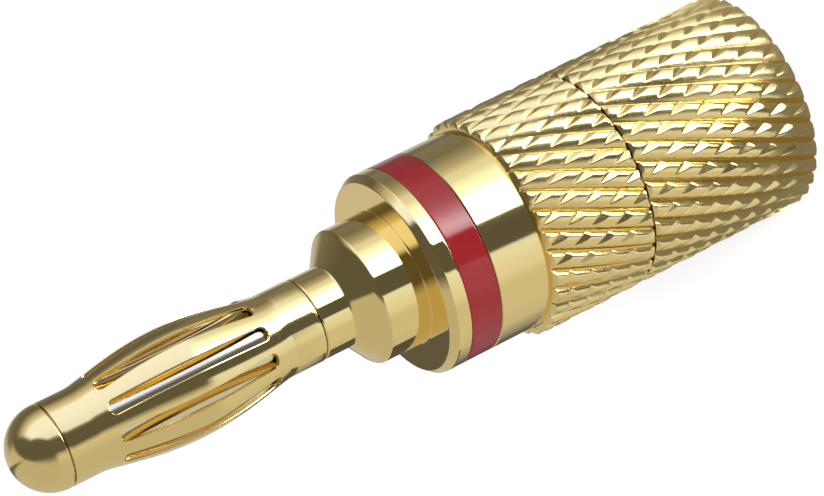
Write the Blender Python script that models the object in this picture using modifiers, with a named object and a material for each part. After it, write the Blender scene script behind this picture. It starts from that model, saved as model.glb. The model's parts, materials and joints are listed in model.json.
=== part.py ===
"""Banana plug: 4 mm contact pin with a bulged spring cage, screwed cable shell.

Modelled standing on the cable end, origin at the middle of that end, +Z toward the tip.
All sizes are in metres; MM turns a size in millimetres into metres.
"""

import math

import bmesh
import bpy

MM = 0.001
WELD = 0.0005 * MM            # points nearer than this are one point

# Fits between pieces
PIN_RUNNING = 0.06 * MM       # radial play of the spring cage on the pin
CAGE_END_PLAY = 0.06 * MM     # the cage's end play, under the head and again on the neck
SEAT = 0.03 * MM              # faces and cylinders that are pressed or screwed together
THREAD_PLAY = 0.06 * MM       # radial play of the cable shell on its thread
SEAM = 0.08 * MM              # gap at the seam between grip and cable shell
CLAMP_GAP = 0.25 * MM         # open clamp sleeve to the body's mouth
CLAMP_HEAD_GAP = 0.26 * MM    # clamp sleeve's head to the cable shell's bore
CLAMP_SHOULDER_GAP = 0.08 * MM
CLAMP_LIFT = 0.12 * MM        # clamp sleeve's head to the end of the body

# Lengths along the axis, from the cable end to the tip
SHELL_LENGTH = 9.05 * MM
GRIP_KNURL_LENGTH = 5.52 * MM
GRIP_PLAIN_LENGTH = 2.55 * MM
RING_LENGTH = 1.57 * MM
FLANGE_LENGTH = 1.02 * MM
BOSS_LENGTH = 2.15 * MM
BOSS_CONE_LENGTH = 0.95 * MM
NECK_LENGTH = 1.49 * MM
CAGE_LENGTH = 12.60 * MM
HEAD_RIM = 0.09 * MM          # straight edge under the dome

GRIP_FOOT = SHELL_LENGTH + SEAM
GRIP_KNURL_TOP = GRIP_FOOT + GRIP_KNURL_LENGTH
GRIP_TOP = GRIP_KNURL_TOP + GRIP_PLAIN_LENGTH
RING_FOOT = GRIP_TOP + SEAT
RING_TOP = RING_FOOT + RING_LENGTH
FLANGE_BACK = RING_TOP + SEAT
FLANGE_FACE = FLANGE_BACK + FLANGE_LENGTH
BOSS_TOP = FLANGE_FACE + BOSS_LENGTH
NECK_FOOT = BOSS_TOP + BOSS_CONE_LENGTH
NECK_TOP = NECK_FOOT + NECK_LENGTH
CAGE_FOOT = NECK_TOP + CAGE_END_PLAY
CAGE_TOP = CAGE_FOOT + CAGE_LENGTH
HEAD_UNDERSIDE = CAGE_TOP + CAGE_END_PLAY

# Contact pin and spring cage
PIN_R = 1.95 * MM             # domed head and the cage's two collars
CAGE_WALL = 0.29 * MM
CAGE_EDGE = 0.05 * MM         # broken edge at both ends
HEAD_TOP = HEAD_UNDERSIDE + HEAD_RIM + PIN_R
SHANK_R = PIN_R - CAGE_WALL - PIN_RUNNING
SHANK_FOOT = CAGE_FOOT - SEAT
TAIL_R = 1.15 * MM            # screwed tail inside the body
TAIL_LENGTH = 5.87 * MM
TAIL_TIP_CHAMFER = 0.30 * MM
TAIL_HOLE_SPARE = 0.4 * MM    # left free below the tail
TAIL_END = SHANK_FOOT - TAIL_LENGTH

# Slots and bulge of the cage
COLLAR_REAR = 2.45 * MM
COLLAR_FRONT = 2.30 * MM
SLOT_FOOT = CAGE_FOOT + COLLAR_REAR
SLOT_TOP = CAGE_TOP - COLLAR_FRONT
SLOT_WIDTH = 0.70 * MM
SLOT_CORNER = 0.26 * MM
LEAVES = 10
FIRST_SLOT_TURN = math.radians(-80.7)
BULGE_RUN_OUT = 0.8 * MM      # the bulge ends this far beyond the slots
BULGE_MIDDLE = 0.5 * (SLOT_FOOT + SLOT_TOP)
BULGE_HALF_LENGTH = 0.5 * (SLOT_TOP - SLOT_FOOT) + BULGE_RUN_OUT
BULGE_RISE = 0.62 * MM
BULGE_POWER = 1.3
BULGE_STEPS = 10              # outside; the inner wall has half as many

# Radii of the body and of what sits on it, from the wire bore outward
NECK_R = 1.93 * MM
BOSS_R = 3.20 * MM
BOSS_EDGE = 0.10 * MM
WIRE_BORE_R = 2.15 * MM
MOUTH_LEDGE = 0.45 * MM       # inner end of the clamp's taper, over the wire bore
MOUTH_FLARE = 0.45 * MM       # wide end of the taper, over its inner end
MOUTH_WALL = 0.85 * MM
THREAD_STEP = 0.20 * MM
RING_WALL = 0.67 * MM
RING_EDGE = 0.04 * MM
FLANGE_CHAMFER = 0.35 * MM
FLANGE_CHAMFER_DEPTH = 0.25 * MM
THREAD_CHAMFER = 0.3 * MM
MOUTH_INNER_R = WIRE_BORE_R + MOUTH_LEDGE
MOUTH_R = MOUTH_INNER_R + MOUTH_FLARE
THREAD_R = MOUTH_R + MOUTH_WALL
SHELL_BORE_R = THREAD_R + THREAD_PLAY
SHANK_SEAT_R = THREAD_R + THREAD_STEP
FLANGE_R = SHANK_SEAT_R + SEAT + RING_WALL   # also colour ring and plain front of the grip

# Knurling, shared by grip and cable shell
KNURL_RISE = 0.44 * MM        # the points stand this far over the plain grip
KNURL_R = FLANGE_R + KNURL_RISE
KNURL_DEPTH = 0.28 * MM
KNURL_STARTS = 32
KNURL_HALF_PITCH = 1.12 * MM  # along the axis, from one row of diamonds to the next
KNURL_FLANK = 0.30 * MM       # width of one sloping side of a diamond
KNURL_CHAMFER = 0.14 * MM     # trims the knurling at its ends
GRIP_KNURL_TURN = math.radians(0.0)
SHELL_KNURL_TURN = math.radians(4.0)

# Cable shell
SHELL_CORNER = 0.40 * MM
SHOULDER_WIDTH = 0.86 * MM
ENTRY_R = SHELL_BORE_R - SHOULDER_WIDTH
ENTRY_CHAMFER = 0.35 * MM
SHELL_SHOULDER = 4.62 * MM    # pushes the clamp sleeve

# Clamp sleeve, and the mouth and wire bore of the body
CLAMP_HEAD_LENGTH = 0.58 * MM
CLAMP_BODY_LENGTH = 3.62 * MM
CLAMP_HEAD_FOOT = SHELL_SHOULDER + CLAMP_SHOULDER_GAP
CLAMP_HEAD_TOP = CLAMP_HEAD_FOOT + CLAMP_HEAD_LENGTH
CLAMP_TOP = CLAMP_HEAD_TOP + CLAMP_BODY_LENGTH
CLAMP_GRIP = 0.20 * MM        # the clamp's bore is this much tighter than the wire bore
CLAMP_BORE_R = WIRE_BORE_R - CLAMP_GRIP
CLAMP_MOUTH_CHAMFER = 0.5 * MM
CLAMP_CUT_WIDTH = 0.35 * MM
CLAMP_CUT_FOOT = CLAMP_HEAD_TOP + 0.2 * CLAMP_BODY_LENGTH
CLAMP_CUTS = 2                # saw cuts right across, four fingers
THREAD_FOOT = CLAMP_HEAD_TOP + CLAMP_LIFT
THREAD_LENGTH = 4.2 * MM
SHANK_SEAT_FOOT = THREAD_FOOT + THREAD_LENGTH
WIRE_BORE_DEPTH = 8.6 * MM    # from the body's cable end
WIRE_BORE_CONE = 0.8 * MM
MOUTH_DEPTH = 4.0 * MM
MOUTH_TOP = THREAD_FOOT + MOUTH_DEPTH
CLAMP_HEAD_R = SHELL_BORE_R - CLAMP_HEAD_GAP

# Sides of the round shapes
ROUND_STEPS = 48
SMALL_STEPS = 32
CAGE_STEPS = 50
BORE_STEPS = 40
TRIM_STEPS = KNURL_STARTS

GOLD = (0.83, 0.66, 0.33, 1.0)
BARE_BRASS = (0.72, 0.55, 0.28, 1.0)
RED = (0.42, 0.016, 0.028, 1.0)


def empty_scene():
    for obj in list(bpy.data.objects):
        bpy.data.objects.remove(obj, do_unlink=True)


def new_collection(name):
    """The plug's pieces and the solids that cut them are kept in two collections."""
    collection = bpy.data.collections.new(name)
    bpy.context.scene.collection.children.link(collection)
    return collection


def new_object(name, mesh, collection):
    obj = bpy.data.objects.new(name, mesh)
    collection.objects.link(obj)
    return obj


def material(name, colour, metallic, roughness):
    mat = bpy.data.materials.new(name)
    mat.use_nodes = True
    shader = mat.node_tree.nodes["Principled BSDF"]
    shader.inputs["Base Color"].default_value = colour
    shader.inputs["Metallic"].default_value = metallic
    shader.inputs["Roughness"].default_value = roughness
    mat.diffuse_color = colour
    return mat


def apply_modifiers(obj):
    """Bake the modifiers into the mesh and close the turned seam."""
    depsgraph = bpy.context.evaluated_depsgraph_get()
    baked = bpy.data.meshes.new_from_object(obj.evaluated_get(depsgraph))
    obj.modifiers.clear()
    old = obj.data
    obj.data = baked
    bpy.data.meshes.remove(old)
    bm = bmesh.new()
    bm.from_mesh(baked)
    bmesh.ops.remove_doubles(bm, verts=bm.verts, dist=WELD)
    bmesh.ops.recalc_face_normals(bm, faces=bm.faces)
    bm.to_mesh(baked)
    bm.free()


def turned(name, profile, steps, collection, closed=False, turn=0.0):
    """Revolve a profile of (radius, height) points, listed down its outer side."""
    bm = bmesh.new()
    corners = [bm.verts.new((r * math.cos(turn), r * math.sin(turn), z)) for r, z in profile]
    for first, second in zip(corners, corners[1:]):
        bm.edges.new((first, second))
    if closed:
        bm.edges.new((corners[-1], corners[0]))
    mesh = bpy.data.meshes.new(name)
    bm.to_mesh(mesh)
    bm.free()
    obj = new_object(name, mesh, collection)
    screw = obj.modifiers.new("Turn", "SCREW")
    screw.axis = "Z"
    screw.angle = math.tau
    screw.steps = steps
    screw.render_steps = steps
    screw.use_merge_vertices = True
    screw.merge_threshold = WELD
    apply_modifiers(obj)
    return obj


def boolean(obj, tool, operation):
    """Cut, trim or join with another solid, which is used up."""
    modifier = obj.modifiers.new(operation.title(), "BOOLEAN")
    modifier.operation = operation
    modifier.solver = "EXACT"
    modifier.object = tool
    apply_modifiers(obj)
    used = tool.data
    bpy.data.objects.remove(tool, do_unlink=True)
    bpy.data.meshes.remove(used)


def arc(centre_r, centre_z, radius, start, end, steps):
    """Points along an arc in the profile plane, angles in degrees from the outward side."""
    points = []
    for i in range(steps + 1):
        angle = math.radians(start + (end - start) * i / steps)
        points.append((centre_r + radius * math.cos(angle), centre_z + radius * math.sin(angle)))
    return points


def finish(obj, mat, foot, parent, crease=30.0):
    """Give a piece its material and shading, put its origin at its foot and seat it."""
    mesh = obj.data
    for vertex in mesh.vertices:
        vertex.co.z -= foot
    obj.location = (0.0, 0.0, foot)
    obj.parent = parent
    mesh.materials.clear()
    mesh.materials.append(mat)
    mesh.shade_smooth()
    mesh.set_sharp_from_angle(angle=math.radians(crease))


def bulge_radius(z):
    """Outer radius of the cage's leaves at height z."""
    reach = abs(z - BULGE_MIDDLE) / BULGE_HALF_LENGTH
    if reach >= 1.0:
        return PIN_R
    return PIN_R + BULGE_RISE * (1.0 - reach * reach) ** BULGE_POWER


def knurled_bar(name, foot, top, turn, collection):
    """A round bar covered in diamond knurling.

    The points of the diamond lattice lie at the bottom of the grooves. Every lattice
    diamond is then raised to a truncated pyramid, so the grooves run as crossing helices.
    """
    valley = KNURL_R - KNURL_DEPTH
    pitch = math.tau / KNURL_STARTS
    rows = math.ceil((top - foot) / KNURL_HALF_PITCH)
    bm = bmesh.new()
    lattice = []
    for j in range(rows + 1):
        z = foot + j * KNURL_HALF_PITCH
        shift = turn + 0.5 * pitch * (j % 2)
        ring = []
        for k in range(KNURL_STARTS):
            angle = shift + k * pitch
            ring.append(bm.verts.new((valley * math.cos(angle), valley * math.sin(angle), z)))
        lattice.append(ring)
    diamonds = []
    for j in range(1, rows):
        odd = j % 2
        for k in range(KNURL_STARTS):
            right = lattice[j][k if odd else (k + 1) % KNURL_STARTS]
            left = lattice[j][k - 1 if odd else k]
            below = lattice[j - 1][k]
            above = lattice[j + 1][k]
            diamonds.append(bm.faces.new((below, right, above, left)))
    for j, up in ((0, True), (rows, False)):
        inner = lattice[1] if up else lattice[rows - 1]
        for k in range(KNURL_STARTS):
            after = (k + 1) % KNURL_STARTS
            tip = inner[k] if j % 2 == 0 else inner[after]
            edge = (lattice[j][k], lattice[j][after], tip)
            bm.faces.new(edge if up else edge[::-1])
    bm.faces.new(lattice[0][::-1])
    bm.faces.new(lattice[rows])
    bm.normal_update()
    bmesh.ops.inset_individual(
        bm, faces=diamonds, thickness=KNURL_FLANK, depth=KNURL_DEPTH, use_even_offset=True
    )
    bmesh.ops.recalc_face_normals(bm, faces=bm.faces)
    mesh = bpy.data.meshes.new(name)
    bm.to_mesh(mesh)
    bm.free()
    return new_object(name, mesh, collection)


def make_core_pin(collection, parent):
    dome = arc(0.0, HEAD_TOP - PIN_R, PIN_R, 90.0, 0.0, 9)
    profile = [(0.0, HEAD_TOP)] + dome[1:] + [
        (PIN_R, HEAD_UNDERSIDE),
        (SHANK_R, HEAD_UNDERSIDE),
        (SHANK_R, SHANK_FOOT),
        (TAIL_R, SHANK_FOOT),
        (TAIL_R, TAIL_END + TAIL_TIP_CHAMFER),
        (TAIL_R - TAIL_TIP_CHAMFER, TAIL_END),
        (0.0, TAIL_END),
    ]
    pin = turned("core_pin", profile, SMALL_STEPS, collection)
    finish(pin, material("pin_gold", GOLD, 1.0, 0.12), SHANK_FOOT, parent)


def make_spring_cage(collection, cutters, parent):
    low = BULGE_MIDDLE - BULGE_HALF_LENGTH
    heights = [low + 2.0 * BULGE_HALF_LENGTH * i / BULGE_STEPS for i in range(BULGE_STEPS + 1)]
    outer = [(bulge_radius(z), z) for z in reversed(heights)]
    inner = [(bulge_radius(z) - CAGE_WALL, z) for z in heights[::2]]
    bore = PIN_R - CAGE_WALL
    profile = [(PIN_R - CAGE_EDGE, CAGE_TOP), (PIN_R, CAGE_TOP - CAGE_EDGE)] + outer
    profile += [(PIN_R, CAGE_FOOT + CAGE_EDGE), (PIN_R - CAGE_EDGE, CAGE_FOOT), (bore, CAGE_FOOT)]
    profile += inner + [(bore, CAGE_TOP)]
    cage = turned("spring_cage", profile, CAGE_STEPS, collection, closed=True, turn=FIRST_SLOT_TURN)
    slots = make_slots(cutters)
    boolean(cage, slots, "DIFFERENCE")
    finish(cage, material("cage_gold", GOLD, 1.0, 0.12), CAGE_FOOT, parent)


def make_slots(cutters):
    """Round-cornered milled slots, evenly spaced, standing clear of the pin's axis."""
    near = PIN_R - 2.5 * CAGE_WALL
    far = PIN_R + BULGE_RISE + CAGE_WALL
    bm = bmesh.new()
    for i in range(LEAVES):
        made = bmesh.ops.create_cube(bm, size=1.0)["verts"]
        for vertex in made:
            vertex.co.x = near if vertex.co.x < 0.0 else far
            vertex.co.y *= SLOT_WIDTH
            vertex.co.z = SLOT_FOOT if vertex.co.z < 0.0 else SLOT_TOP
        edges = {edge for vertex in made for edge in vertex.link_edges}
        radial = [e for e in edges if abs(e.verts[0].co.x - e.verts[1].co.x) > 0.5 * (far - near)]
        rounded = bmesh.ops.bevel(
            bm, geom=radial, offset=SLOT_CORNER, segments=3, profile=0.5, affect="EDGES"
        )
        made = {v for v in made if v.is_valid} | set(rounded["verts"])
        turn = FIRST_SLOT_TURN + i * math.tau / LEAVES
        for vertex in made:
            x, y = vertex.co.x, vertex.co.y
            vertex.co.x = x * math.cos(turn) - y * math.sin(turn)
            vertex.co.y = x * math.sin(turn) + y * math.cos(turn)
    bmesh.ops.recalc_face_normals(bm, faces=bm.faces)
    mesh = bpy.data.meshes.new("slots")
    bm.to_mesh(mesh)
    bm.free()
    return new_object("slots", mesh, cutters)


def make_plug_body(collection, parent):
    tail_hole = TAIL_R + SEAT
    tail_hole_foot = TAIL_END - TAIL_HOLE_SPARE
    wire_bore_top = THREAD_FOOT + WIRE_BORE_DEPTH
    profile = [
        (0.0, tail_hole_foot),
        (tail_hole, tail_hole_foot),
        (tail_hole, NECK_TOP),
        (NECK_R, NECK_TOP),
        (NECK_R, NECK_FOOT),
        (BOSS_R - BOSS_EDGE, BOSS_TOP + 0.6 * BOSS_EDGE),
        (BOSS_R, BOSS_TOP - 0.5 * BOSS_EDGE),
        (BOSS_R, FLANGE_FACE),
        (FLANGE_R - FLANGE_CHAMFER_DEPTH, FLANGE_FACE),
        (FLANGE_R, FLANGE_FACE - FLANGE_CHAMFER),
        (FLANGE_R, FLANGE_BACK),
        (SHANK_SEAT_R, FLANGE_BACK),
        (SHANK_SEAT_R, SHANK_SEAT_FOOT),
        (THREAD_R, SHANK_SEAT_FOOT),
        (THREAD_R, THREAD_FOOT + THREAD_CHAMFER),
        (THREAD_R - THREAD_CHAMFER, THREAD_FOOT),
        (MOUTH_R, THREAD_FOOT),
        (MOUTH_INNER_R, MOUTH_TOP),
        (WIRE_BORE_R, MOUTH_TOP),
        (WIRE_BORE_R, wire_bore_top),
        (0.0, wire_bore_top + WIRE_BORE_CONE),
    ]
    body = turned("plug_body", profile, ROUND_STEPS, collection)
    finish(body, material("body_gold", GOLD, 1.0, 0.12), FLANGE_FACE, parent)


def make_colour_ring(collection, parent):
    bore = SHANK_SEAT_R + SEAT
    profile = [
        (FLANGE_R - RING_EDGE, RING_TOP),
        (FLANGE_R, RING_TOP - RING_EDGE),
        (FLANGE_R, RING_FOOT + RING_EDGE),
        (FLANGE_R - RING_EDGE, RING_FOOT),
        (bore, RING_FOOT),
        (bore, RING_TOP),
    ]
    ring = turned("colour_ring", profile, ROUND_STEPS, collection, closed=True)
    finish(ring, material("ring_red", RED, 0.0, 0.25), RING_FOOT, parent)


def make_grip(collection, cutters, parent):
    """Knurled blank trimmed by the end chamfers, joined to the plain front length, bored."""
    grip = knurled_bar("grip", GRIP_FOOT - KNURL_HALF_PITCH, GRIP_KNURL_TOP + KNURL_HALF_PITCH,
                       GRIP_KNURL_TURN, collection)
    envelope = turned("envelope", [
        (0.0, GRIP_KNURL_TOP),
        (KNURL_R - KNURL_CHAMFER, GRIP_KNURL_TOP),
        (KNURL_R + SEAT, GRIP_KNURL_TOP - KNURL_CHAMFER),
        (KNURL_R + SEAT, GRIP_FOOT + KNURL_CHAMFER),
        (KNURL_R - KNURL_CHAMFER, GRIP_FOOT),
        (0.0, GRIP_FOOT),
    ], TRIM_STEPS, cutters)
    boolean(grip, envelope, "INTERSECT")
    plain = turned("plain", [
        (0.0, GRIP_TOP),
        (FLANGE_R - RING_EDGE, GRIP_TOP),
        (FLANGE_R, GRIP_TOP - RING_EDGE),
        (FLANGE_R, GRIP_FOOT + KNURL_HALF_PITCH),
        (0.0, GRIP_FOOT + KNURL_HALF_PITCH),
    ], ROUND_STEPS, cutters)
    boolean(grip, plain, "UNION")
    bore = SHANK_SEAT_R + SEAT
    drill = turned("drill", [(0.0, GRIP_TOP + MM), (bore, GRIP_TOP + MM), (bore, GRIP_FOOT - MM),
                             (0.0, GRIP_FOOT - MM)], ROUND_STEPS, cutters)
    boolean(grip, drill, "DIFFERENCE")
    finish(grip, material("grip_gold", GOLD, 1.0, 0.16), GRIP_FOOT, parent)


def make_cable_shell(collection, cutters, parent):
    """Knurled blank with a rounded cable end, a cable entry and a threaded front bore."""
    shell = knurled_bar("cable_shell", -KNURL_HALF_PITCH, SHELL_LENGTH + KNURL_HALF_PITCH,
                        SHELL_KNURL_TURN, collection)
    corner = arc(KNURL_R - SHELL_CORNER, SHELL_CORNER, SHELL_CORNER, 0.0, -90.0, 3)
    envelope = turned("envelope", [
        (0.0, SHELL_LENGTH),
        (KNURL_R - KNURL_CHAMFER, SHELL_LENGTH),
        (KNURL_R + SEAT, SHELL_LENGTH - KNURL_CHAMFER),
        (KNURL_R + SEAT, SHELL_CORNER + SEAT),
    ] + corner + [(0.0, 0.0)], TRIM_STEPS, cutters)
    boolean(shell, envelope, "INTERSECT")
    drill = turned("drill", [
        (0.0, SHELL_LENGTH + MM),
        (SHELL_BORE_R + ENTRY_CHAMFER, SHELL_LENGTH + MM),
        (SHELL_BORE_R + ENTRY_CHAMFER, SHELL_LENGTH),
        (SHELL_BORE_R, SHELL_LENGTH - ENTRY_CHAMFER),
        (SHELL_BORE_R, SHELL_SHOULDER),
        (ENTRY_R, SHELL_SHOULDER),
        (ENTRY_R, ENTRY_CHAMFER),
        (ENTRY_R + ENTRY_CHAMFER, 0.0),
        (ENTRY_R + ENTRY_CHAMFER, -MM),
        (0.0, -MM),
    ], BORE_STEPS, cutters)
    boolean(shell, drill, "DIFFERENCE")
    finish(shell, material("shell_gold", GOLD, 1.0, 0.16), 0.0, parent)


def make_clamp_sleeve(collection, cutters, parent):
    """Sleeve sawn into fingers, with the mouth's taper, that the shell pushes into the mouth."""
    taper = (MOUTH_R - MOUTH_INNER_R) / MOUTH_DEPTH
    body_r = MOUTH_R - CLAMP_GAP
    nose_r = body_r - taper * (CLAMP_TOP - THREAD_FOOT)
    profile = [
        (nose_r, CLAMP_TOP),
        (body_r, THREAD_FOOT),
        (body_r, CLAMP_HEAD_TOP),
        (CLAMP_HEAD_R, CLAMP_HEAD_TOP),
        (CLAMP_HEAD_R, CLAMP_HEAD_FOOT),
        (CLAMP_BORE_R + CLAMP_MOUTH_CHAMFER, CLAMP_HEAD_FOOT),
        (CLAMP_BORE_R, CLAMP_HEAD_FOOT + CLAMP_MOUTH_CHAMFER),
        (CLAMP_BORE_R, CLAMP_TOP),
    ]
    sleeve = turned("clamp_sleeve", profile, SMALL_STEPS, collection, closed=True)
    for i in range(CLAMP_CUTS):
        bm = bmesh.new()
        for vertex in bmesh.ops.create_cube(bm, size=1.0)["verts"]:
            x = vertex.co.x * 4.0 * MOUTH_R
            y = vertex.co.y * CLAMP_CUT_WIDTH
            turn = math.pi * (i + 0.5) / CLAMP_CUTS
            vertex.co.x = x * math.cos(turn) - y * math.sin(turn)
            vertex.co.y = x * math.sin(turn) + y * math.cos(turn)
            vertex.co.z = CLAMP_CUT_FOOT if vertex.co.z < 0.0 else CLAMP_TOP + MM
        mesh = bpy.data.meshes.new("saw")
        bm.to_mesh(mesh)
        bm.free()
        boolean(sleeve, new_object("saw", mesh, cutters), "DIFFERENCE")
    finish(sleeve, material("clamp_brass", BARE_BRASS, 1.0, 0.3), CLAMP_HEAD_FOOT, parent)


def main():
    empty_scene()
    collection = new_collection("banana_plug")
    cutters = new_collection("cutters")
    plug = bpy.data.objects.new("plug", None)
    collection.objects.link(plug)
    make_core_pin(collection, plug)
    make_spring_cage(collection, cutters, plug)
    make_plug_body(collection, plug)
    make_colour_ring(collection, plug)
    make_grip(collection, cutters, plug)
    make_cable_shell(collection, cutters, plug)
    make_clamp_sleeve(collection, cutters, plug)
    bpy.data.collections.remove(cutters)


main()
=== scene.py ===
# %% [markdown]
# # A gold-plated banana plug
#
# The plug stands on its cable end with its tip up, in metres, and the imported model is
# loaded as a fixed frame. The lesson dresses six of its seven pieces in a finer skin:
# turned parts with soft edges, a slotted spring cage and two sleeves of diamond
# knurling. The seventh only gets a better finish. It then lights them the way polished
# metal has to be lit, by giving the gold something to reflect.

# %% Load the frame
import json
import math

import bpy
from mathutils import Matrix, Vector

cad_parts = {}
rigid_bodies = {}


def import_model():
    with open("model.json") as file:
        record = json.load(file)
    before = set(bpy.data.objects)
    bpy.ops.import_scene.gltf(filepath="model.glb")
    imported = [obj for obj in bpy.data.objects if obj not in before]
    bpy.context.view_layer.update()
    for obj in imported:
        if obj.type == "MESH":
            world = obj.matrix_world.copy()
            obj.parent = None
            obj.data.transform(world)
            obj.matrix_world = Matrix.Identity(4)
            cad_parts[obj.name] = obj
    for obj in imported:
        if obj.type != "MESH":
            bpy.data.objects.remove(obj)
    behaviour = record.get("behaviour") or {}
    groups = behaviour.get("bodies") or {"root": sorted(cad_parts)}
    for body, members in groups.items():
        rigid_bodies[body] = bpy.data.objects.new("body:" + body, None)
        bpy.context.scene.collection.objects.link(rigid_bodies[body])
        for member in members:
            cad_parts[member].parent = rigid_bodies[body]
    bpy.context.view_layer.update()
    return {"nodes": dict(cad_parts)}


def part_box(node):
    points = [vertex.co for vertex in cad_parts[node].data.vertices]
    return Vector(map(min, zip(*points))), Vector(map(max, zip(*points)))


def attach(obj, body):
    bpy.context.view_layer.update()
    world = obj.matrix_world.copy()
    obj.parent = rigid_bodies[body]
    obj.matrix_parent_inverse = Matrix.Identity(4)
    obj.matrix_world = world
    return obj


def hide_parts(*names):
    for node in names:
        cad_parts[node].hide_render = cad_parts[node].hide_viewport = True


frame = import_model()
MM = 0.001
print("nodes:", sorted(frame["nodes"]))

# %% [markdown]
# ## Turning a piece
#
# Pin, body and ring are turned on a lathe, so each is one outline swung round the Z axis.
# A circle is added at the outline's first point, and every further point is an
# extrusion of the last ring: moved along Z, then scaled to the new radius. A Spin would
# do the same, but rings are easier to keep evenly spaced. The outline is given in
# millimetres as (radius, height) pairs. Smooth shading bends the light on a face whose
# ends meet a rounded corner, and polished metal shows it, so each long straight run gets
# an extra ring near both ends. The bend then stays in that narrow strip.


# %% A lathe made of extrusions
def deselect():
    bpy.ops.object.select_all(action="DESELECT")


SIDES = 192                        # faces round a turned piece
BRACE = 0.1                        # how far the extra rings stand from a corner


def braced(outline):
    """Add a point just inside both ends of each long straight run."""
    points = [outline[0]]
    for (r0, z0), (r1, z1) in zip(outline, outline[1:]):
        length = math.hypot(r1 - r0, z1 - z0)
        if length > 4 * BRACE:
            for share in (BRACE / length, 1 - BRACE / length):
                points.append((r0 + (r1 - r0) * share, z0 + (z1 - z0) * share))
        points.append((r1, z1))
    return points


def turned(name, outline, sides=SIDES, closed=False):
    """Turn an outline into a surface; a closed one joins its last ring to its first."""
    outline = braced(outline)
    deselect()
    radius, height = outline[0]
    bpy.ops.mesh.primitive_circle_add(vertices=sides, radius=radius * MM,
                                      location=(0, 0, height * MM))
    piece = bpy.context.object
    piece.name = name
    bpy.ops.object.transform_apply(location=True, rotation=True, scale=True)
    bpy.ops.object.mode_set(mode="EDIT")
    bpy.ops.mesh.select_mode(type="EDGE")
    bpy.ops.mesh.select_all(action="SELECT")
    for (r0, z0), (r1, z1) in zip(outline, outline[1:]):
        bpy.ops.mesh.extrude_edges_move(
            TRANSFORM_OT_translate={"value": (0, 0, (z1 - z0) * MM)})
        bpy.ops.transform.resize(value=(r1 / r0, r1 / r0, 1),
                                 center_override=(0, 0, z1 * MM))
    if closed:
        bpy.ops.mesh.select_non_manifold()
        bpy.ops.mesh.bridge_edge_loops()
    bpy.ops.mesh.select_all(action="SELECT")
    bpy.ops.mesh.normals_make_consistent(inside=False)
    bpy.ops.object.mode_set(mode="OBJECT")
    return piece


def cap_ends(piece):
    """Close each open end ring with one flat face."""
    bpy.ops.object.mode_set(mode="EDIT")
    bpy.ops.mesh.select_mode(type="EDGE")
    bpy.ops.mesh.select_all(action="DESELECT")
    bpy.ops.mesh.select_non_manifold()
    bpy.ops.mesh.edge_face_add()
    bpy.ops.mesh.select_all(action="SELECT")
    bpy.ops.mesh.normals_make_consistent(inside=False)
    bpy.ops.object.mode_set(mode="OBJECT")


def soften(piece, width, segments=3, angle=25):
    """Round the sharp edges with a Bevel modifier, then shade the rest smooth."""
    bevel = piece.modifiers.new("edges", "BEVEL")
    bevel.width = width * MM
    bevel.segments = segments
    bevel.limit_method = "ANGLE"
    bevel.angle_limit = math.radians(angle)
    bevel.harden_normals = False
    bpy.context.view_layer.objects.active = piece
    bpy.ops.object.modifier_apply(modifier=bevel.name)
    deselect()
    piece.select_set(True)
    bpy.ops.object.shade_smooth_by_angle(angle=math.radians(35))
    print(piece.name, len(piece.data.polygons), "faces")


def arc(centre, radius, start, end, steps):
    """Points on an arc of the outline, angles in degrees from the outward side."""
    r, z = centre
    turn = [math.radians(start + (end - start) * i / steps) for i in range(steps + 1)]
    return [(r + radius * math.cos(t), z + radius * math.sin(t)) for t in turn]


# %% [markdown]
# ## The contact pin
#
# A plain shank carries the spring cage and ends in a ball-nosed head. The dome is a true
# half ball, as its reflections show, with a short straight rim below it. The last ring
# of the dome is kept tiny and closed with one flat face, which is invisible at this size.

# %% Contact pin
PIN_R = 1.95
HEAD_RIM = 0.09
TIP_R = 0.02                       # the dome's last ring
TAIL_R, TAIL_END_R, TAIL_TAPER = 1.15, 0.85, 0.3
low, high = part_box("core_pin")
pin_foot, pin_top = low.z / MM, high.z / MM
dome_centre = pin_top - PIN_R
HEAD_UNDERSIDE = dome_centre - HEAD_RIM
SHANK_R = 1.74                     # close under the thin cage
CAGE_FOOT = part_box("spring_cage")[0].z / MM
dome = arc((0.0, dome_centre), PIN_R, 90, 0, 48)[1:]
outline = [(TIP_R, pin_top)] + dome + [
    (PIN_R, HEAD_UNDERSIDE), (SHANK_R, HEAD_UNDERSIDE), (SHANK_R, CAGE_FOOT),
    (TAIL_R, CAGE_FOOT), (TAIL_R, pin_foot + TAIL_TAPER), (TAIL_END_R, pin_foot)]
core_pin = turned("contact_pin", outline)
cap_ends(core_pin)
soften(core_pin, 0.05, angle=40)

# %% [markdown]
# ## The spring cage
#
# The cage is a thin tube between two collars. Ten long slots leave ten leaves, which
# bow outward to press on the socket. Here the tube is turned first, with the bulge in
# its outline, then the columns of its faces are drawn aside to the edges of each slot,
# so that every slot has the same width while the leaves are wide in the middle. The faces
# inside the slots are deleted, Solidify gives the wall and a small bevel breaks the edges.

# %% Cage sizes
cage_low, cage_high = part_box("spring_cage")
CAGE_TOP = cage_high.z / MM
CAGE_WALL = 0.19
SLOT_FOOT = CAGE_FOOT + 2.45
SLOT_TOP = CAGE_TOP - 2.30
SLOT_HALF = 0.35
SLOT_CORNER = 0.26
LEAVES = 10
FIRST_SLOT = math.radians(-82.0)
BULGE_MIDDLE = 0.5 * (SLOT_FOOT + SLOT_TOP)
BULGE_REACH = 0.5 * (SLOT_TOP - SLOT_FOOT) + 0.8
BULGE_RISE = 0.62
BULGE_FULLNESS = 1.3               # above 1 the bow runs out softly into the collars
SLOT_SETTLE = 0.8                  # the columns are evenly spaced again this far past a slot


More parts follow.
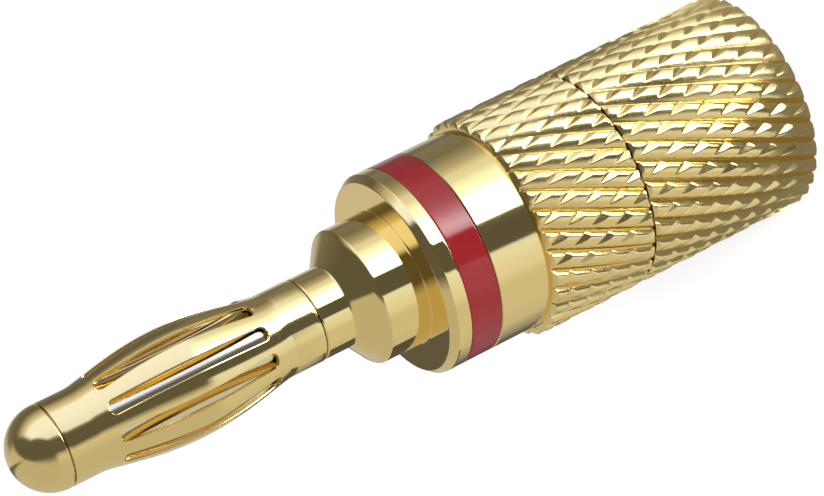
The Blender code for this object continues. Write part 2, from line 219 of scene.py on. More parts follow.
def bulge(z):
    """Outer radius of the leaves at a height, in millimetres."""
    reach = abs(z - BULGE_MIDDLE) / BULGE_REACH
    return PIN_R + (BULGE_RISE * (1 - reach * reach) ** BULGE_FULLNESS if reach < 1 else 0.0)


def slot_half_width(z):
    """Half the slot's width at a height, with its rounded corners; nothing beyond its ends."""
    inside = min(z - SLOT_FOOT, SLOT_TOP - z)
    if inside < -1e-6:
        return None
    if inside >= SLOT_CORNER:
        return SLOT_HALF
    drop = SLOT_CORNER - max(inside, 0.0)
    return SLOT_HALF - SLOT_CORNER + math.sqrt(max(SLOT_CORNER ** 2 - drop ** 2, 0.0))


# %% Turn the cage and open its slots
COLUMNS = 20                       # faces round one leaf and its slot
SLOT_COLUMNS = 8
corner_steps = [SLOT_CORNER * (1 - math.cos(math.radians(15 * i))) for i in range(7)]
heights = [SLOT_FOOT + step for step in corner_steps]
heights += [SLOT_TOP - step for step in reversed(corner_steps)]
straight = heights[6], heights[7]
heights += [straight[0] + (straight[1] - straight[0]) * i / 48 for i in range(1, 48)]
heights += [CAGE_FOOT + (SLOT_FOOT - CAGE_FOOT) * i / 12 for i in range(12)]
heights += [SLOT_TOP + (CAGE_TOP - SLOT_TOP) * i / 12 for i in range(1, 13)]
heights = sorted(heights)
cage = turned("contact_cage", [(bulge(z), z) for z in heights], sides=LEAVES * COLUMNS)
pitch = math.tau / LEAVES
edge_share = SLOT_COLUMNS / COLUMNS
for vertex in cage.data.vertices:
    z = vertex.co.z / MM
    radius = bulge(z)
    turn = math.atan2(vertex.co.y, vertex.co.x)
    column = math.floor(turn / pitch + 0.5)
    share = (turn / pitch - column) * 2             # -1 to 1, 0 in the middle of a slot
    half = slot_half_width(z)
    plain = edge_share * pitch / 2
    if half is None:
        beyond = max(SLOT_FOOT - z, z - SLOT_TOP)
        near = (SLOT_HALF - SLOT_CORNER) / radius
        edge = near + (plain - near) * min(beyond / SLOT_SETTLE, 1.0)
    else:
        edge = math.asin(half / radius)
    if abs(share) <= edge_share:
        moved = share / edge_share * edge
    else:
        rest = (abs(share) - edge_share) / (1 - edge_share)
        moved = math.copysign(edge + rest * (pitch / 2 - edge), share)
    angle = FIRST_SLOT + column * pitch + moved
    vertex.co.x = radius * MM * math.cos(angle)
    vertex.co.y = radius * MM * math.sin(angle)

bpy.ops.object.mode_set(mode="EDIT")
bpy.ops.mesh.select_mode(type="FACE")
bpy.ops.mesh.select_all(action="DESELECT")
bpy.ops.object.mode_set(mode="OBJECT")
for face in cage.data.polygons:
    z = face.center.z / MM
    turn = math.atan2(face.center.y, face.center.x) - FIRST_SLOT
    off = (turn / pitch + 0.5) % 1 - 0.5
    half = slot_half_width(z)
    if half is not None and abs(off * pitch) < math.asin(half / bulge(z)):
        face.select = True
bpy.ops.object.mode_set(mode="EDIT")
bpy.ops.mesh.delete(type="FACE")
bpy.ops.object.mode_set(mode="OBJECT")
wall = cage.modifiers.new("wall", "SOLIDIFY")
wall.thickness = CAGE_WALL * MM
wall.offset = -1
bpy.ops.object.modifier_apply(modifier=wall.name)
soften(cage, 0.04, segments=2, angle=50)

# %% [markdown]
# ## The plug body
#
# One turned piece: a neck of the pin's size, a cone out to the boss, the polished flange
# and, hidden under the sleeves, the shank with its thread and the wire bore. The thread
# shows when the cable shell is unscrewed. The outline gives it closely spaced rings, and
# their points are pressed in along a helix, rounded at crest and root as a rolled
# thread is, and fading out at both ends.

# %% Thread sizes
THREAD_R = 3.90
THREAD_PITCH = 0.75
THREAD_DEPTH = 0.22
THREAD_RINGS = 104
THREAD_FADE = 0.3
THREAD_START, THREAD_END = 4.2, 0.3   # above the body's foot

# %% Plug body
body_low, body_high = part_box("plug_body")
NECK_TOP = body_high.z / MM
THREAD_FOOT = body_low.z / MM
FLANGE_R, BOSS_R, NECK_R, SEAT_R, PIN_HOLE_R = 4.80, 3.20, 1.93, 4.10, 1.18
FOOT_R, MOUTH_R, MOUTH_END_R, MOUTH_DEPTH = 3.60, 3.05, 2.60, 4.0
WIRE_BORE_R, WIRE_BORE_DEPTH, DRILL_POINT = 2.15, 8.6, 9.4
ring_low, ring_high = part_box("colour_ring")
FLANGE_BACK = ring_high.z / MM + 0.03
FLANGE_FACE = FLANGE_BACK + 1.02
BOSS_TOP = FLANGE_FACE + 2.15
NECK_FOOT = BOSS_TOP + 0.95
thread_top, thread_end = THREAD_FOOT + THREAD_START, THREAD_FOOT + THREAD_END
outline = [
    (PIN_HOLE_R, pin_foot - 0.4), (PIN_HOLE_R, NECK_TOP), (NECK_R, NECK_TOP),
    (NECK_R, NECK_FOOT), (BOSS_R - 0.10, BOSS_TOP + 0.06), (BOSS_R, BOSS_TOP - 0.05),
    (BOSS_R, FLANGE_FACE),
    (FLANGE_R - 0.25, FLANGE_FACE), (FLANGE_R, FLANGE_FACE - 0.35), (FLANGE_R, FLANGE_BACK),
    (SEAT_R, FLANGE_BACK), (SEAT_R, thread_top)]
outline += [(THREAD_R, thread_top - (thread_top - thread_end) * i / THREAD_RINGS)
            for i in range(THREAD_RINGS + 1)]
outline += [
    (FOOT_R, THREAD_FOOT), (MOUTH_R, THREAD_FOOT),
    (MOUTH_END_R, THREAD_FOOT + MOUTH_DEPTH), (WIRE_BORE_R, THREAD_FOOT + MOUTH_DEPTH),
    (WIRE_BORE_R, THREAD_FOOT + WIRE_BORE_DEPTH), (0.05, THREAD_FOOT + DRILL_POINT)]
body = turned("plug_body_skin", outline)
cap_ends(body)
for vertex in body.data.vertices:
    z = vertex.co.z / MM
    radius = math.hypot(vertex.co.x, vertex.co.y) / MM
    if abs(radius - THREAD_R) < 0.001 and thread_end - 0.001 < z < thread_top + 0.001:
        turn = math.atan2(vertex.co.y, vertex.co.x)
        wave = 1 - math.cos(math.tau * (z - THREAD_FOOT) / THREAD_PITCH - turn)
        fade = max(min((z - thread_end) / THREAD_FADE, (thread_top - z) / THREAD_FADE, 1.0), 0.0)
        shrink = 1 - THREAD_DEPTH / 2 * wave * fade / THREAD_R
        vertex.co.x *= shrink
        vertex.co.y *= shrink
soften(body, 0.045, angle=18)

# %% [markdown]
# ## The colour ring
#
# A glossy red ring between flange and grip. Its edges are barely broken, so that it sits
# flush with the metal on both sides.

# %% Colour ring
RING_FOOT, RING_TOP = ring_low.z / MM, ring_high.z / MM
BORE_R = 4.13                      # ring and grip share the body's seat
outline = [(FLANGE_R, RING_TOP), (FLANGE_R, RING_FOOT), (BORE_R, RING_FOOT), (BORE_R, RING_TOP)]
ring = turned("red_ring", outline, closed=True)
soften(ring, 0.04)

# %% [markdown]
# ## Knurling
#
# A knurling wheel presses two families of grooves into the sleeves, one leaning to each
# side, and what stands between them is a field of diamonds. A mesh shows this cleanly
# only if its own edges follow the grooves. So one line of points is drawn up the
# sleeve along a groove, by extruding a single point again and again with a small turn, and
# that line is spun all the way round. Each quad is then split along the other
# family, which gives edges along both. At last every point is pressed in by the depth of
# the deeper groove at its place.

# %% Knurl sizes
KNURL_R = 5.24
STARTS = 32
HALF_PITCH = 1.12                  # along the axis, in millimetres
CELL = 16                          # mesh steps across one diamond
DEPTH_A, CREST_A = 0.29, 0.70      # the long ridges: round-backed, leaning to one side
DEPTH_B, FOOT_B, CREST_B = 0.15, 0.16, 0.66   # the crossing grooves only nick their crests


def knurl_radius(turn, rise):
    """Radius at a turn from the first valley crossing and a height over it."""
    a = (turn * STARTS / math.tau - rise / (2 * HALF_PITCH)) % 1
    b = (turn * STARTS / math.tau + rise / (2 * HALF_PITCH)) % 1
    if a < CREST_A:
        depth_a = DEPTH_A * (1 - a / CREST_A) ** 2
    else:
        depth_a = DEPTH_A * ((a - CREST_A) / (1 - CREST_A)) ** 2
    if b < FOOT_B:
        depth_b = DEPTH_B * (1 - b / FOOT_B)
    else:
        depth_b = DEPTH_B * max(b - CREST_B, 0.0) / (1 - CREST_B)
    return KNURL_R - max(depth_a, depth_b)


# %% A knurled skin
def knurled(name, foot, top, phase, limit):
    """The knurled outside between two heights; limit(z) is the radius of the end chamfers."""
    rise = HALF_PITCH / CELL
    twist = math.tau / STARTS / CELL / 2
    rows = round((top - foot) / rise)
    deselect()
    bpy.ops.mesh.primitive_circle_add(vertices=3, radius=0.01 * MM,
                                      location=(KNURL_R * MM, 0, foot * MM))
    piece = bpy.context.object
    piece.name = name
    bpy.ops.object.transform_apply(location=True, rotation=True, scale=True)
    bpy.ops.object.mode_set(mode="EDIT")
    bpy.ops.mesh.select_mode(type="VERT")
    bpy.ops.mesh.select_all(action="SELECT")
    bpy.ops.mesh.merge(type="CENTER")
    for row in range(rows):
        bpy.ops.mesh.extrude_vertices_move(
            TRANSFORM_OT_translate={"value": (0, 0, (top - foot) / rows * MM)})
        bpy.ops.transform.rotate(value=-twist, orient_axis="Z", center_override=(0, 0, 0))
    bpy.ops.mesh.select_all(action="SELECT")
    bpy.ops.mesh.spin(steps=STARTS * CELL, angle=math.tau, center=(0, 0, 0), axis=(0, 0, 1),
                      use_auto_merge=True)
    bpy.ops.mesh.select_all(action="SELECT")
    bpy.ops.mesh.remove_doubles(threshold=0.002 * MM)
    bpy.ops.mesh.quads_convert_to_tris(quad_method="SHORTEST_DIAGONAL")
    bpy.ops.object.mode_set(mode="OBJECT")
    for vertex in piece.data.vertices:
        z = vertex.co.z / MM
        turn = math.atan2(vertex.co.y, vertex.co.x)
        radius = min(knurl_radius(turn, z - foot + HALF_PITCH), limit(z)) * MM
        vertex.co.x = radius * math.cos(turn + phase)
        vertex.co.y = radius * math.sin(turn + phase)
    print(name, len(piece.data.vertices), "points")
    return piece


END_CHAMFER, SHELL_CORNER = 0.14, 0.12
shell_low, shell_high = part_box("cable_shell")
shell_foot, shell_top = shell_low.z / MM, shell_high.z / MM


def shell_limit(z):
    """The shell's rounded cable end and its chamfer towards the grip."""
    if z < SHELL_CORNER:
        inside = SHELL_CORNER ** 2 - (SHELL_CORNER - z) ** 2
        return KNURL_R - SHELL_CORNER + math.sqrt(max(inside, 0.0))
    return KNURL_R - max(END_CHAMFER - (shell_top - z), 0.0)


shell = knurled("knurled_shell", shell_foot, shell_top, math.radians(4.0), shell_limit)


# %% [markdown]
# The skin is open at both ends. Its lower ring is extruded inwards over the end face and
# up the bore, ring by ring, and the last ring is bridged to the upper edge of the skin.
# Each new ring is drawn to an exact circle, because the edge it came from is scalloped.

# %% Close a sleeve round its bore


def carry_on(piece, start, outline):
    """Extrude the open ring at a height along (radius, height) pairs and bridge it shut."""
    bpy.context.view_layer.objects.active = piece
    bpy.ops.object.mode_set(mode="EDIT")
    bpy.ops.mesh.select_mode(type="EDGE")
    bpy.ops.mesh.select_all(action="DESELECT")
    bpy.ops.object.mode_set(mode="OBJECT")
    points = piece.data.vertices
    for edge in piece.data.edges:
        edge.select = all(abs(points[i].co.z / MM - start) < 0.001 for i in edge.vertices)
    height = start
    for radius, new_height in outline:
        bpy.ops.object.mode_set(mode="EDIT")
        bpy.ops.mesh.extrude_edges_move(
            TRANSFORM_OT_translate={"value": (0, 0, (new_height - height) * MM)})
        bpy.ops.object.mode_set(mode="OBJECT")
        for vertex in piece.data.vertices:
            if vertex.select:
                turn = math.atan2(vertex.co.y, vertex.co.x)
                vertex.co.x = radius * MM * math.cos(turn)
                vertex.co.y = radius * MM * math.sin(turn)
        height = new_height
    bpy.ops.object.mode_set(mode="EDIT")
    bpy.ops.mesh.select_all(action="DESELECT")
    bpy.ops.mesh.select_non_manifold()
    bpy.ops.mesh.bridge_edge_loops()
    bpy.ops.mesh.select_all(action="SELECT")
    bpy.ops.mesh.normals_make_consistent(inside=False)
    bpy.ops.object.mode_set(mode="OBJECT")
    deselect()
    piece.select_set(True)
    bpy.ops.object.shade_smooth_by_angle(angle=math.radians(35))
    print(piece.name, len(piece.data.polygons), "faces")


# %% [markdown]
# ## The two knurled sleeves
#
# The cable shell is knurled from end to end, rounded at the cable end and bored for the
# wire and the thread. The grip has a short knurled length and then a plain polished
# collar, which carries on the line of the red ring and the flange.

# %% Cable shell
SHELL_BORE_R, ENTRY_R, ENTRY_CHAMFER, SHELL_SHOULDER = 3.96, 3.10, 0.35, 4.62
carry_on(shell, shell_foot, [
    (ENTRY_R + ENTRY_CHAMFER, shell_foot), (ENTRY_R, shell_foot + ENTRY_CHAMFER),
    (ENTRY_R, SHELL_SHOULDER), (SHELL_BORE_R, SHELL_SHOULDER),
    (SHELL_BORE_R, shell_top - ENTRY_CHAMFER), (SHELL_BORE_R + ENTRY_CHAMFER, shell_top)])

# %% Grip
grip_low, grip_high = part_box("grip")
GRIP_FOOT, GRIP_TOP = grip_low.z / MM, grip_high.z / MM
GRIP_KNURL_TOP = GRIP_FOOT + 5.52
FRONT_DROP, FRONT_SLOPE, GRIP_EDGE = 0.30, 2.0, 0.04


def grip_limit(z):
    """The grip's chamfer towards the shell and the steep end of its knurling in front."""
    front = FRONT_DROP - (GRIP_KNURL_TOP - z) * FRONT_SLOPE
    return KNURL_R - max(END_CHAMFER - (z - GRIP_FOOT), front, 0.0)


grip = knurled("knurled_grip", GRIP_FOOT, GRIP_KNURL_TOP, math.radians(0.0), grip_limit)
carry_on(grip, GRIP_FOOT, [
    (BORE_R, GRIP_FOOT), (BORE_R, GRIP_TOP), (FLANGE_R - GRIP_EDGE, GRIP_TOP),
    (FLANGE_R, GRIP_TOP - GRIP_EDGE), (FLANGE_R, GRIP_KNURL_TOP)])

# %% [markdown]
# ## The clamp sleeve
#
# It hardly shows, deep in the cable entry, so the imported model's own sleeve stays and
# only gets a better finish further down. The other six skins stand for their nodes and
# ride on the bodies that those nodes belong to.

# %% Who stands for whom
for piece, node, body_name, slot in [
        (core_pin, "core_pin", "plug", "contact_gold"),
        (cage, "spring_cage", "cage", "cage_gold"),
        (body, "plug_body", "plug", "body_gold"),
        (ring, "colour_ring", "plug", "ring_red"),
        (grip, "grip", "plug", "grip_gold"),
        (shell, "cable_shell", "shell", "shell_gold")]:
    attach(piece, body_name)
    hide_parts(node)
    print(piece.name, "stands for", node, "on", body_name)

# %% [markdown]
# ## Gold plating
#
# Polished gold has no colour of its own beyond the tint it gives its reflections. So the
# finish is a metal with a pale gold base, a low roughness that wanders a little, and
# the faintest turning marks round the axis. The marks are noise that changes only with
# the height, which leaves rings like those of a lathe.

# %% Plating group


def plating_group():
    group = bpy.data.node_groups.new("gold_plating", "ShaderNodeTree")
    for name, kind in (("Tone", "NodeSocketColor"), ("Deep tone", "NodeSocketColor"),
                       ("Polish", "NodeSocketFloat"), ("Marks", "NodeSocketFloat"),
                       ("Grain", "NodeSocketFloat")):
        group.interface.new_socket(name, in_out="INPUT", socket_type=kind)
    for name, kind in (("Color", "NodeSocketColor"), ("Roughness", "NodeSocketFloat"),
                       ("Height", "NodeSocketFloat")):
        group.interface.new_socket(name, in_out="OUTPUT", socket_type=kind)
    nodes, links = group.nodes, group.links
    given, out = nodes.new("NodeGroupInput"), nodes.new("NodeGroupOutput")
    place = nodes.new("ShaderNodeTexCoord")

    cloud = nodes.new("ShaderNodeTexNoise")
    cloud.inputs["Scale"].default_value = 260
    cloud.inputs["Detail"].default_value = 3
    links.new(place.outputs["Object"], cloud.inputs["Vector"])
    tint = nodes.new("ShaderNodeMix")
    tint.data_type = "RGBA"
    links.new(cloud.outputs["Fac"], tint.inputs["Factor"])
    links.new(given.outputs["Tone"], tint.inputs["A"])
    links.new(given.outputs["Deep tone"], tint.inputs["B"])
    links.new(tint.outputs["Result"], out.inputs["Color"])

    split = nodes.new("ShaderNodeSeparateXYZ")
    links.new(place.outputs["Object"], split.inputs["Vector"])
    rings = nodes.new("ShaderNodeTexNoise")
    rings.noise_dimensions = "1D"
    rings.inputs["Scale"].default_value = 9000
    rings.inputs["Detail"].default_value = 4
    links.new(split.outputs["Z"], rings.inputs["W"])
    depth = nodes.new("ShaderNodeMath")
    depth.operation = "MULTIPLY"
    links.new(rings.outputs["Fac"], depth.inputs[0])
    links.new(given.outputs["Marks"], depth.inputs[1])
    grain = nodes.new("ShaderNodeTexNoise")
    grain.inputs["Scale"].default_value = 7000
    grain.inputs["Detail"].default_value = 2
    links.new(place.outputs["Object"], grain.inputs["Vector"])
    pits = nodes.new("ShaderNodeMath")
    pits.operation = "MULTIPLY_ADD"
    links.new(grain.outputs["Fac"], pits.inputs[0])
    links.new(given.outputs["Grain"], pits.inputs[1])
    links.new(depth.outputs["Value"], pits.inputs[2])
    links.new(pits.outputs["Value"], out.inputs["Height"])

    wander = nodes.new("ShaderNodeMapRange")
    wander.inputs["From Min"].default_value = 0.35
    wander.inputs["From Max"].default_value = 0.65
    wander.inputs["To Min"].default_value = 0.8
    wander.inputs["To Max"].default_value = 1.3
    links.new(cloud.outputs["Fac"], wander.inputs["Value"])
    rough = nodes.new("ShaderNodeMath")
    rough.operation = "MULTIPLY"
    links.new(wander.outputs["Result"], rough.inputs[0])
    links.new(given.outputs["Polish"], rough.inputs[1])
    links.new(rough.outputs["Value"], out.inputs["Roughness"])
    return group


plating = plating_group()


def gold(name, tone, deep_tone, polish, marks, grain=0.0):
    finish = bpy.data.materials.new(name)
    finish.use_nodes = True
    nodes, links = finish.node_tree.nodes, finish.node_tree.links
    shader = nodes["Principled BSDF"]
    shader.inputs["Metallic"].default_value = 1.0
    coat = nodes.new("ShaderNodeGroup")
    coat.node_tree = plating
    coat.inputs["Tone"].default_value = (*tone, 1)
    coat.inputs["Deep tone"].default_value = (*deep_tone, 1)
    coat.inputs["Polish"].default_value = polish
    coat.inputs["Marks"].default_value = marks
    coat.inputs["Grain"].default_value = grain
    bump = nodes.new("ShaderNodeBump")
    bump.inputs["Strength"].default_value = 1.0
    bump.inputs["Distance"].default_value = 0.000001
    links.new(coat.outputs["Color"], shader.inputs["Base Color"])
    links.new(coat.outputs["Roughness"], shader.inputs["Roughness"])
    links.new(coat.outputs["Height"], bump.inputs["Height"])
    links.new(bump.outputs["Normal"], shader.inputs["Normal"])
    return finish


# %% [markdown]
# Pin, cage and body are polished bright and differ only in the polish and its marks. The
# knurled lengths are duller, with a fine grain, while the grip's collar is polished again.
# The pin's shank, seen through the slots, is a little paler than the gilt round it.

# %% Dress the gold pieces
PALE_GOLD, WARM_GOLD = (0.95, 0.74, 0.31), (0.93, 0.71, 0.28)


def dress(piece, finish):
    piece.data.materials.clear()
    piece.data.materials.append(finish)
    print(piece.name, "wears", finish.name)


def add_finish(piece, finish, low, high):
    """Give a second finish to the faces whose middle lies between two heights."""
    piece.data.materials.append(finish)
    chosen = 0
    for face in piece.data.polygons:
        if low < face.center.z / MM < high:
            face.material_index = len(piece.data.materials) - 1
            chosen += 1
    print(piece.name, "has", finish.name, "on", chosen, "faces")


dress(core_pin, gold("pin_plating", PALE_GOLD, WARM_GOLD, 0.14, 0.3))
add_finish(core_pin, gold("bare_shank", (0.96, 0.85, 0.58), (0.92, 0.81, 0.54), 0.08, 0.15),
           CAGE_FOOT, HEAD_UNDERSIDE - 0.01)
dress(cage, gold("cage_plating", PALE_GOLD, WARM_GOLD, 0.09, 0.5))
dress(body, gold("body_plating", PALE_GOLD, WARM_GOLD, 0.04, 0.3))
dress(grip, gold("grip_plating", PALE_GOLD, WARM_GOLD, 0.18, 0.3, 4.0))
add_finish(grip, gold("collar_plating", PALE_GOLD, WARM_GOLD, 0.07, 0.3),
           GRIP_KNURL_TOP - 0.001, GRIP_TOP + 1)
dress(shell, gold("shell_plating", PALE_GOLD, WARM_GOLD, 0.18, 0.3, 4.0))
clamp_finish = gold("clamp_brass_finish", (0.80, 0.60, 0.28), (0.74, 0.54, 0.24), 0.28, 1.0)
clamp = next(item for item in bpy.data.objects
             if item.name.startswith("clamp_sleeve") and item.type == "MESH")
for clamp_slot in clamp.material_slots:
    clamp_slot.material = clamp_finish
print("clamp_sleeve wears", clamp_finish.name)

# %% [markdown]
# ## Glossy red
#
# The ring is dyed plastic with a glossy skin. A soft noise shifts the red a little, and
# the low roughness gives the small hard highlight, which is tinted slightly warm.

# %% Red ring finish
red_gloss = bpy.data.materials.new("red_gloss")
red_gloss.use_nodes = True
nodes, links = red_gloss.node_tree.nodes, red_gloss.node_tree.links
shader = nodes["Principled BSDF"]
place = nodes.new("ShaderNodeTexCoord")
cloud = nodes.new("ShaderNodeTexNoise")
cloud.inputs["Scale"].default_value = 900
cloud.inputs["Detail"].default_value = 4
links.new(place.outputs["Object"], cloud.inputs["Vector"])
dye = nodes.new("ShaderNodeValToRGB")
dye.color_ramp.elements[0].position = 0.35
dye.color_ramp.elements[0].color = (0.315, 0.014, 0.019, 1)
dye.color_ramp.elements[1].position = 0.65
dye.color_ramp.elements[1].color = (0.345, 0.018, 0.023, 1)
links.new(cloud.outputs["Fac"], dye.inputs["Fac"])
links.new(dye.outputs["Color"], shader.inputs["Base Color"])
gloss = nodes.new("ShaderNodeMapRange")
gloss.inputs["To Min"].default_value = 0.08
gloss.inputs["To Max"].default_value = 0.14
links.new(cloud.outputs["Fac"], gloss.inputs["Value"])
links.new(gloss.outputs["Result"], shader.inputs["Roughness"])
shader.inputs["Specular Tint"].default_value = (1.0, 0.93, 0.78, 1)
dress(ring, red_gloss)

# %% [markdown]
# ## The floor
#
# The floor is a wide pale sheet that catches the shadow. A little glow that only the
# camera sees lifts it to the photograph's white without adding light to the plug.

# %% Floor
FLOOR_SIZE, FLOOR_GLOW = 3.0, 0.42
deselect()
bpy.ops.mesh.primitive_plane_add(size=FLOOR_SIZE, location=(0, 0, 0))
floor = bpy.context.object
floor.name = "floor"
sheet = bpy.data.materials.new("pale_floor")
sheet.use_nodes = True
nodes, links = sheet.node_tree.nodes, sheet.node_tree.links
shader = nodes["Principled BSDF"]
shader.inputs["Base Color"].default_value = (0.86, 0.86, 0.86, 1)
shader.inputs["Roughness"].default_value = 0.9
shader.inputs["Specular IOR Level"].default_value = 0.1
ray = nodes.new("ShaderNodeLightPath")
seen = nodes.new("ShaderNodeMath")
seen.operation = "MULTIPLY"
seen.inputs[1].default_value = FLOOR_GLOW
links.new(ray.outputs["Is Camera Ray"], seen.inputs[0])
shader.inputs["Emission Color"].default_value = (1, 1, 1, 1)
links.new(seen.outputs["Value"], shader.inputs["Emission Strength"])
floor.data.materials.append(sheet)
floor.visible_glossy = False

# %% [markdown]
# ## The light tent
#
# A polished round part shows its whole surroundings, so these are built as a
# photographer builds them: a tent round the plug with a long softbox at the picture's
# upper left, a dark gap for the lens, and pale card on the other side. The tent is a
# large ball cut off level with the floor. The cut is closed by a disc a hair above the
# floor, so that the metal mirrors the disc where it would mirror the floor. Only glossy
# rays meet the tent: the camera looks through it, and it lights nothing.

# %% Tent
TENT_R = 0.6
DISC_HEIGHT = 0.00002
deselect()
bpy.ops.mesh.primitive_uv_sphere_add(segments=96, ring_count=48, radius=TENT_R)
tent = bpy.context.object
tent.name = "light_tent"
bpy.ops.object.mode_set(mode="EDIT")
bpy.ops.mesh.select_all(action="SELECT")
bpy.ops.mesh.bisect(plane_co=(0, 0, DISC_HEIGHT), plane_no=(0, 0, 1), use_fill=True,
                    clear_inner=True)
bpy.ops.object.mode_set(mode="OBJECT")
tent.visible_camera = False
tent.visible_diffuse = False
tent.visible_shadow = False
tent.visible_transmission = False

# %% [markdown]
# ## Light inside the tent
#
# The brightness depends on the direction from the plug. One colour ramp holds it once
# round, read from the angle seen from above, for the tent's floor near the plug, which
# the upright walls of the metal reflect. A second ramp serves everything further out,
# where the softbox is weaker, and a third the roof above the softbox's slanting edge.
# Two small patches on the floor finish it: a bright card round the foot, which gives
# the knurling its sparks, and a dark one behind at the lower right, a painted shadow of
# the plug on that floor, which shades the neck where the metal mirrors it.

# %% Light values
PLAIN, FAINTLY_COOL = (1.0, 1.0, 1.0), (0.95, 1.0, 1.1)
COOL, VERY_COOL = (0.90, 1.0, 1.22), (0.90, 1.03, 1.6)
BRIGHTEST = 10.0
NEAR_FLOOR = [                           # degrees from the camera, brightness, tint
    (-180, 0.30), (-177, 0.65), (-150, 0.65), (-141, 0.5), (-131, 0.16), (-120, 0.22),
    (-100, 0.20), (-90, 0.33), (-81, 0.5), (-73, 0.85, FAINTLY_COOL), (-66, 0.95, COOL),
    (-58, 1.3, COOL), (-50, 1.8, COOL), (-41, 4, COOL), (-33, 8, COOL), (-28, 10, COOL),
    (-20, 6, COOL), (-19, 0.11), (12, 0.11), (13, 0.95, COOL), (20, 0.95, COOL),
    (30, 0.87, FAINTLY_COOL), (42, 0.83, FAINTLY_COOL), (54, 0.67), (92, 0.67), (105, 0.63),
    (118, 0.60), (128, 0.48), (139, 0.36), (149, 0.24), (158, 0.12), (179, 0.12)]
FAR_WALL = [
    (-180, 0.65), (-160, 0.5), (-150, 0.2), (-125, 0.14), (-116, 0.13), (-106, 0.3),
    (-98, 0.5), (-91, 0.65), (-84, 0.85, COOL), (-77, 1.15, VERY_COOL), (-50, 1.12, VERY_COOL),
    (-36, 1.05, VERY_COOL), (-22, 1.0, VERY_COOL), (-17, 0.3), (-13, 0.12), (19, 0.12),
    (26, 0.5), (32, 0.70), (42, 0.65), (60, 0.57), (171, 0.57), (176, 0.12), (180, 0.12)]
ROOF = [(-180, 0.12), (-179.5, 0.12), (-178.6, 0.58), (-148, 0.58), (-128, 0.12),
        (25, 0.12), (45, 0.55), (171, 0.55), (176, 0.12), (180, 0.12)]
FOOT_CARD = [(-180, 0.3), (-150, 0.4), (-132, 1.0), (-118, 2.0), (-102, 1.2), (-80, 0.35),
             (-40, 0.22), (180, 0.25)]
# painted shadow: a dark patch on the tent's floor that stands for the plug's own shadow there
SHADE = [(-180, 0.1), (180, 0.1)]

# %% Where each zone of the tent begins and ends
BAND_SHIFT = 0.0073                # the bands are centred a little beside the plug, in metres
DISC_TOP = 0.001                   # the tent's own floor lies below this height
AWAY_START, AWAY_END = 0.066, 0.080   # distances from the axis, also in the next lines
CARD_REACH = 0.0115
SHADE_START, SHADE_END = 0.049, 0.066
SHADE_TURN = 120                   # it runs from here to 180 degrees
SOFTBOX_TURN = 0.35, 0.455         # shares of the way round
SOFTBOX_TOP = 47, 13               # its upper edge at those two, in degrees
SOFTBOX_BLUR = 6

# %% Tent light
lamp = bpy.data.materials.new("tent_light")
lamp.use_nodes = True
nodes, links = lamp.node_tree.nodes, lamp.node_tree.links
nodes.clear()


def calculate(operation, first, second=None):
    node = nodes.new("ShaderNodeMath")
    node.operation = operation
    for socket, value in zip(node.inputs, (first, second)):
        if isinstance(value, (int, float)):
            socket.default_value = value
        elif value is not None:
            links.new(value, socket)
    return node.outputs["Value"]


def blend_between(value, start, end, low=0.0, high=1.0, smooth=False):
    """Map a value's range onto another one."""
    node = nodes.new("ShaderNodeMapRange")
    node.interpolation_type = "SMOOTHSTEP" if smooth else "LINEAR"
    for socket, number in (("From Min", start), ("From Max", end),
                           ("To Min", low), ("To Max", high)):
        node.inputs[socket].default_value = number
    links.new(value, node.inputs["Value"])
    return node.outputs["Result"]


def mixed(factor, under, over_it):
    node = nodes.new("ShaderNodeMix")
    node.data_type = "RGBA"
    links.new(factor, node.inputs["Factor"])
    links.new(under, node.inputs["A"])
    links.new(over_it, node.inputs["B"])
    return node.outputs["Result"]


place = nodes.new("ShaderNodeTexCoord")
split = nodes.new("ShaderNodeSeparateXYZ")
links.new(place.outputs["Object"], split.inputs["Vector"])
x, y, z = (split.outputs[axis] for axis in "XYZ")
aside = calculate("ADD", x, BAND_SHIFT)
around = calculate("ARCTAN2", y, aside)
share = calculate("FRACT", calculate("ADD", calculate("MULTIPLY", around, -1 / math.tau), 0.25))
square = calculate("ADD", calculate("MULTIPLY", x, x), calculate("MULTIPLY", y, y))
reach = calculate("SQRT", square)
height = calculate("ARCTAN2", z, reach)


def ramp(stops):
    """A colour ramp once round the plug from (degrees, brightness, tint) stops."""
    node = nodes.new("ShaderNodeValToRGB")
    elements = node.color_ramp.elements
    elements.remove(elements[-1])
    for i, (turn, bright, *tint) in enumerate(stops):
        where = (turn + 180) / 360
        stop = elements[0] if i == 0 else elements.new(where)
        stop.position = where
        stop.color = (*[bright / BRIGHTEST * part for part in (tint[0] if tint else PLAIN)], 1)
    links.new(share, node.inputs["Fac"])
    return node.outputs["Color"]


# %% Put the light together
low_down = calculate("LESS_THAN", z, DISC_TOP)
away = blend_between(reach, AWAY_START, AWAY_END)
on_floor = calculate("MULTIPLY", low_down, calculate("SUBTRACT", 1.0, away))
sides = mixed(on_floor, ramp(FAR_WALL), ramp(NEAR_FLOOR))
softbox_top = blend_between(share, *SOFTBOX_TURN, *[math.radians(edge) for edge in SOFTBOX_TOP])
above = calculate("SUBTRACT", height, softbox_top)
over = blend_between(above, math.radians(-SOFTBOX_BLUR), math.radians(SOFTBOX_BLUR), smooth=True)
all_round = mixed(over, sides, ramp(ROOF))
near = calculate("LESS_THAN", reach, CARD_REACH)
with_card = mixed(calculate("MULTIPLY", near, low_down), all_round, ramp(FOOT_CARD))
# where the painted shadow lies: a ring sector behind the plug on the tent's floor
shaded = calculate("MULTIPLY", calculate("GREATER_THAN", reach, SHADE_START),
                   calculate("LESS_THAN", reach, SHADE_END))
past_turn = calculate("GREATER_THAN", share, (SHADE_TURN + 180) / 360)
shaded = calculate("MULTIPLY", shaded, past_turn)
with_shade = mixed(calculate("MULTIPLY", shaded, low_down), with_card, ramp(SHADE))
glow = nodes.new("ShaderNodeEmission")
glow.inputs["Strength"].default_value = BRIGHTEST
links.new(with_shade, glow.inputs["Color"])
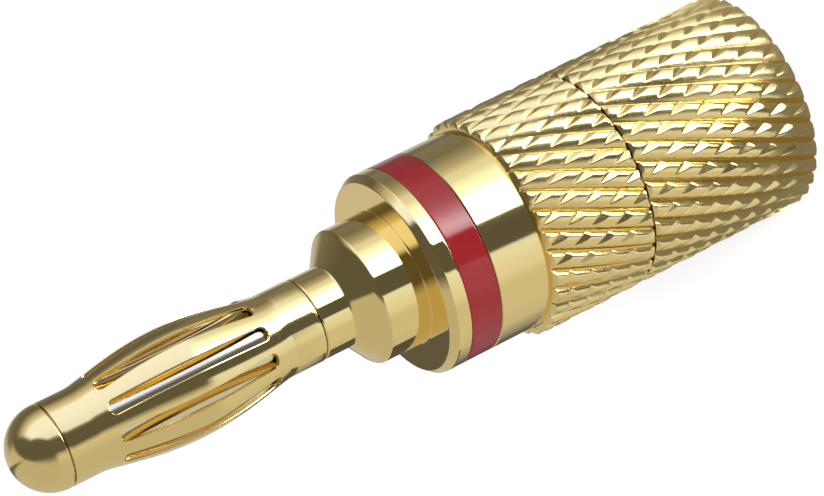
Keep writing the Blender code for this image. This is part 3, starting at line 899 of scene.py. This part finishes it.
end = nodes.new("ShaderNodeOutputMaterial")
links.new(glow.outputs["Emission"], end.inputs["Surface"])
tent.data.materials.append(lamp)
print("tent light:", len(nodes), "nodes")

# %% [markdown]
# ## Lamps and background
#
# The floor and the red ring need real light as well. A large soft lamp stands behind the
# camera, so that the shadow falls behind the plug, and the world adds an even fill.

# %% Lamps
LAMP_PLACE, LAMP_AIM = (0.03, -0.42, 0.42), (0, 0, 0.015)
key_light = bpy.data.lights.new("key_lamp", "AREA")
key_light.shape = "DISK"
key_light.size = 0.25
key_light.energy = 2.4
key_lamp = bpy.data.objects.new("key_lamp", key_light)
bpy.context.scene.collection.objects.link(key_lamp)
key_lamp.location = LAMP_PLACE
aim = Vector(LAMP_AIM) - key_lamp.location
key_lamp.rotation_euler = aim.to_track_quat("-Z", "Y").to_euler()
key_lamp.visible_glossy = False
print("key lamp:", key_light.energy, "W")

# %% [markdown]
# The world is white where the camera or a mirror sees it, and dimmer for everything else.
# The metal is left to the tent, so the world isn't sampled as a lamp.

# %% World
world = bpy.data.worlds.new("studio")
bpy.context.scene.world = world
world.use_nodes = True
world.cycles.sampling_method = "NONE"
nodes, links = world.node_tree.nodes, world.node_tree.links
nodes.clear()
ray = nodes.new("ShaderNodeLightPath")
seen = nodes.new("ShaderNodeMath")
seen.operation = "MAXIMUM"
links.new(ray.outputs["Is Camera Ray"], seen.inputs[0])
links.new(ray.outputs["Is Glossy Ray"], seen.inputs[1])
clear = nodes.new("ShaderNodeMath")
clear.operation = "MAXIMUM"
links.new(seen.outputs["Value"], clear.inputs[0])
links.new(ray.outputs["Is Transmission Ray"], clear.inputs[1])
bright = nodes.new("ShaderNodeMapRange")
bright.inputs["To Min"].default_value = 0.5
bright.inputs["To Max"].default_value = 1.0
links.new(clear.outputs["Value"], bright.inputs["Value"])
back = nodes.new("ShaderNodeBackground")
links.new(bright.outputs["Result"], back.inputs["Strength"])
end = nodes.new("ShaderNodeOutputWorld")
links.new(back.outputs["Background"], end.inputs["Surface"])
print("world:", world.name)

# %% [markdown]
# ## The camera
#
# The photograph looks down on the plug by 23 degrees with the camera rolled, so that the
# plug lies across the picture from upper right to lower left.

# %% Camera
CAMERA_PLACE = (0.00078, -0.14692, 0.08030)
lens = bpy.data.cameras.new("camera")
lens.lens = 157.28
lens.sensor_width = 36
camera = bpy.data.objects.new("camera", lens)
bpy.context.scene.collection.objects.link(camera)
right = Vector((-0.4428, -0.3487, -0.8263)).normalized()   # to the right of the picture
back_way = Vector((0.0, -0.9215, 0.3886)).normalized()     # from the plug to the camera
upward = back_way.cross(right)
turned_view = Matrix((right, upward, back_way)).transposed().to_4x4()
camera.matrix_world = Matrix.Translation(CAMERA_PLACE) @ turned_view
bpy.context.scene.camera = camera
bpy.context.scene.view_settings.view_transform = "Standard"
print("camera lens", lens.lens, "mm")
